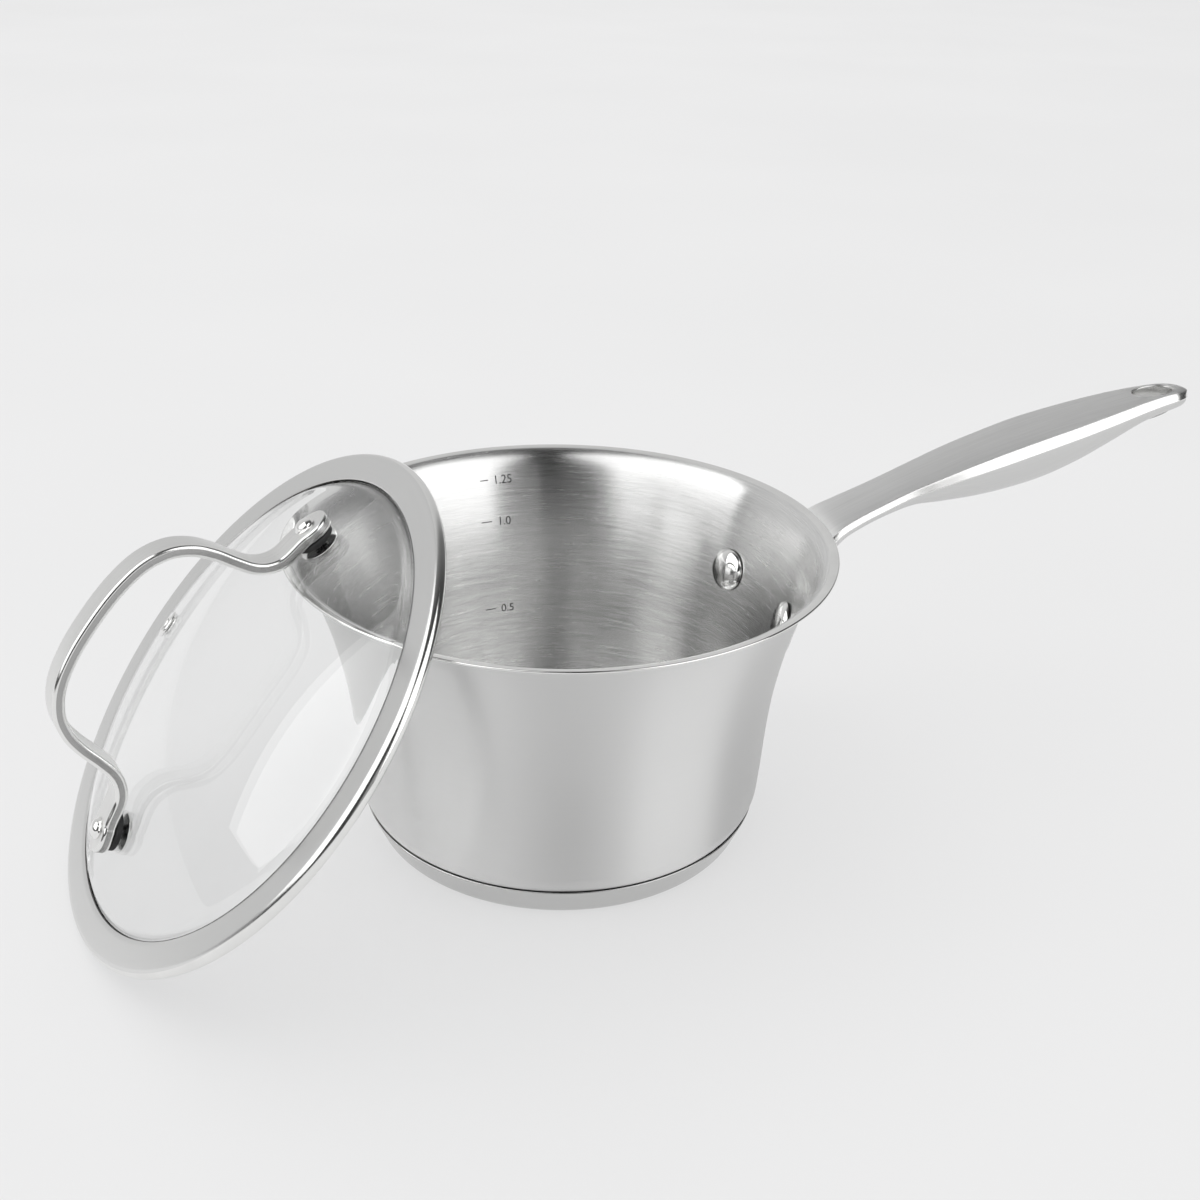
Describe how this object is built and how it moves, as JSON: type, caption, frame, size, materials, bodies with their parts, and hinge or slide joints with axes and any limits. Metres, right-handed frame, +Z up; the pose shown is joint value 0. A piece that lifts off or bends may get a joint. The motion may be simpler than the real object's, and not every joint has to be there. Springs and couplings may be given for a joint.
{
  "type": "saucepan with glass lid",
  "caption": "Steel saucepan with a long riveted handle and a domed glass lid with a bow handle, the lid leaning against the rim.",
  "frame": {"origin": "centre of the underside of the pan's base, on the table", "axes": "+Z up along the pan's axis, +X from the pan's axis along the long handle"},
  "size_m": [0.3937, 0.183, 0.1301],
  "materials": {
    "pan_steel": "satin, brushed in circles round the axis",
    "core_aluminium": "plain pressed disc, sealed in",
    "cap_steel": "satin",
    "saddle_steel": "satin",
    "handle_steel": "brushed along the handle, polished edge",
    "belly_steel": "brushed across the handle",
    "sleeve_steel": "satin",
    "rivet_polish": "mirror polished",
    "lid_glass": "clear tempered glass",
    "band_steel": "satin, rolled edge polished",
    "strap_steel": "brushed face, polished edges",
    "gasket_rubber": "matt black silicone",
    "washer_polish": "polished",
    "stud_polish": "mirror polished",
    "vent_polish": "polished"
  },
  "bodies": {
    "pan": {"pan_body": "pan_steel", "base_core": "core_aluminium", "base_cap": "cap_steel", "handle_saddle": "saddle_steel", "handle_top": "handle_steel", "handle_bottom": "belly_steel", "hang_sleeve": "sleeve_steel", "pan_rivet_left": "rivet_polish", "pan_rivet_right": "rivet_polish"},
    "lid": {"lid_glass": "lid_glass", "lid_band": "band_steel", "lid_strap": "strap_steel", "lid_gasket_low": "gasket_rubber", "lid_gasket_high": "gasket_rubber", "lid_washer_low": "washer_polish", "lid_washer_high": "washer_polish", "lid_stud_low": "stud_polish", "lid_stud_high": "stud_polish", "vent_eyelet": "vent_polish"}
  },
  "joints": [
    {"name": "lid_lift", "type": "slide", "parent": "pan", "child": "lid", "axis": [0, 0, 1], "range_m": [0, 0.13]}
  ]
}
